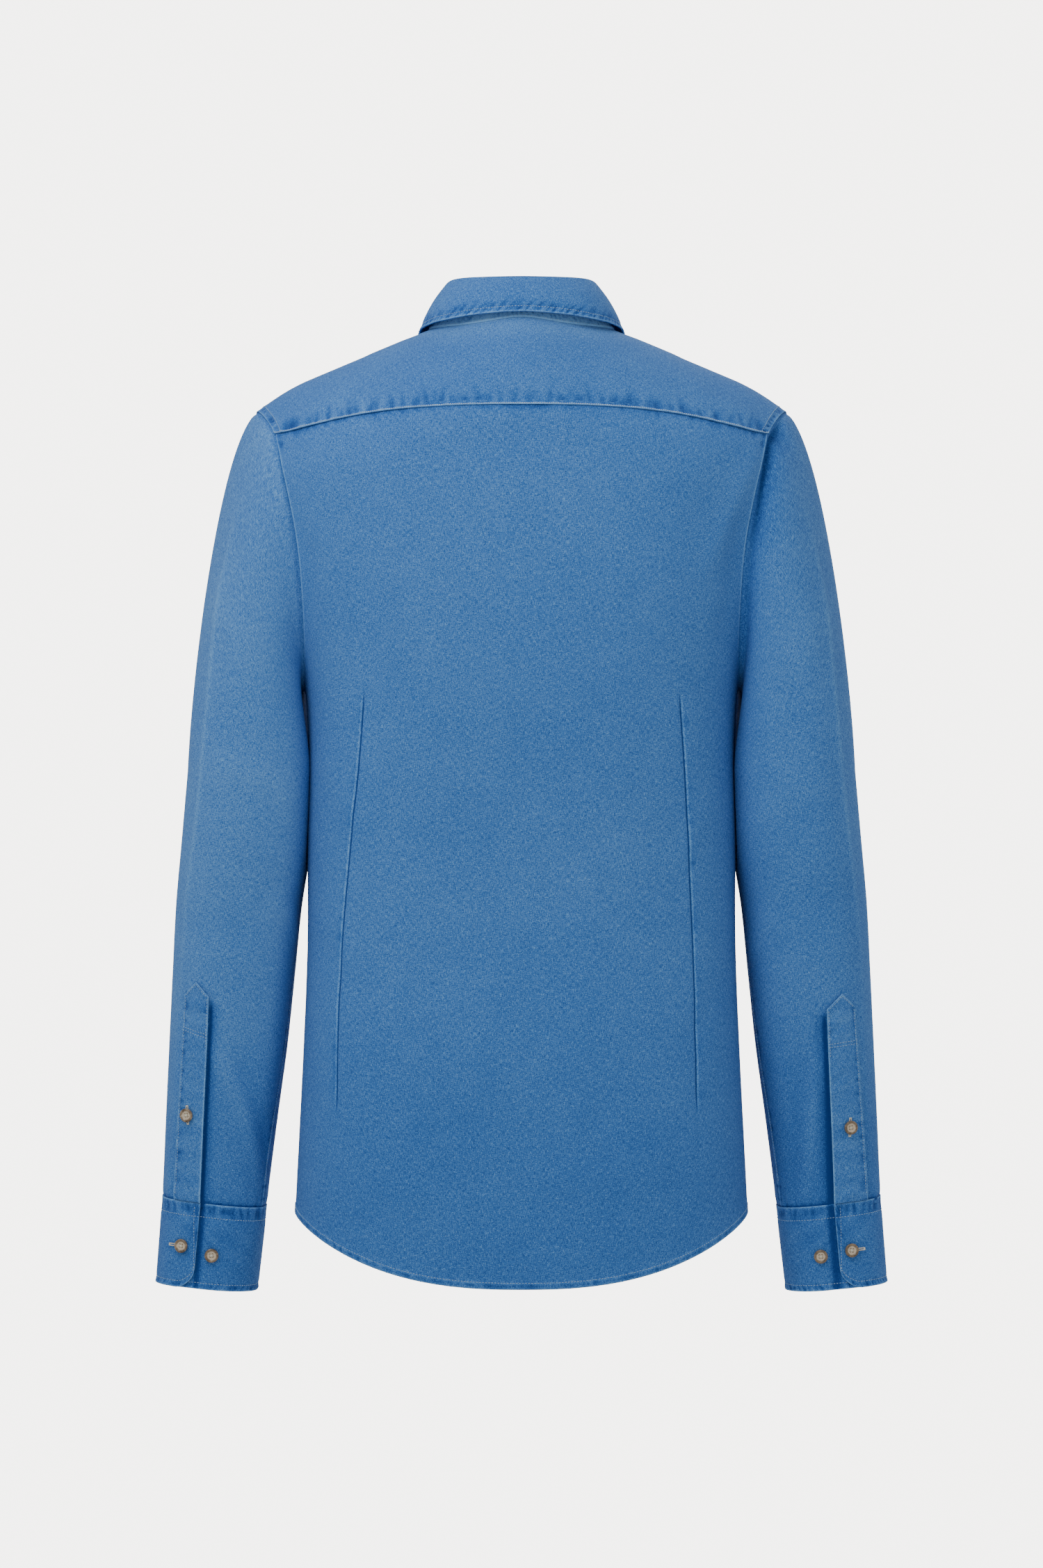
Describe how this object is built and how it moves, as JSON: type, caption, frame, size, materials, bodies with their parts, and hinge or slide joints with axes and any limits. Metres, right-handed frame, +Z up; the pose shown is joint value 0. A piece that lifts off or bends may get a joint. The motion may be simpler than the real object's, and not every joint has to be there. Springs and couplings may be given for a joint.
{
  "type": "denim shirt",
  "caption": "Men's slim denim shirt, buttoned and filled out as worn, with yoke, back darts, turn-down collar, barrel cuffs and curved hem.",
  "frame": {"origin": "middle of the neck opening, level with the collar seam at the back, where the wearer's neck and shoulders hold the shirt up", "axes": "+Z up along the wearer, +Y to the wearer's front, +X to the wearer's right"},
  "size_m": [0.5715, 0.2493, 0.7834],
  "materials": {
    "denim": "washed mid-blue cotton denim, matt",
    "horn": "brown-grey horn-like buttons, half shiny"
  },
  "bodies": {
    "root": {"back": "denim", "yoke": "denim", "front_left": "denim", "front_right": "denim", "front_placket": "denim", "collar_stand": "denim", "collar": "denim", "sleeve_left": "denim", "sleeve_right": "denim", "cuff_left": "denim", "cuff_right": "denim", "sleeve_placket_left": "denim", "sleeve_placket_right": "denim", "button_collar": "horn", "button_front_1": "horn", "button_front_2": "horn", "button_front_3": "horn", "button_front_4": "horn", "button_front_5": "horn", "button_front_6": "horn", "button_sleeve_left": "horn", "button_cuff_left": "horn", "button_cuff_left_spare": "horn", "button_sleeve_right": "horn", "button_cuff_right": "horn", "button_cuff_right_spare": "horn"}
  },
  "joints": []
}
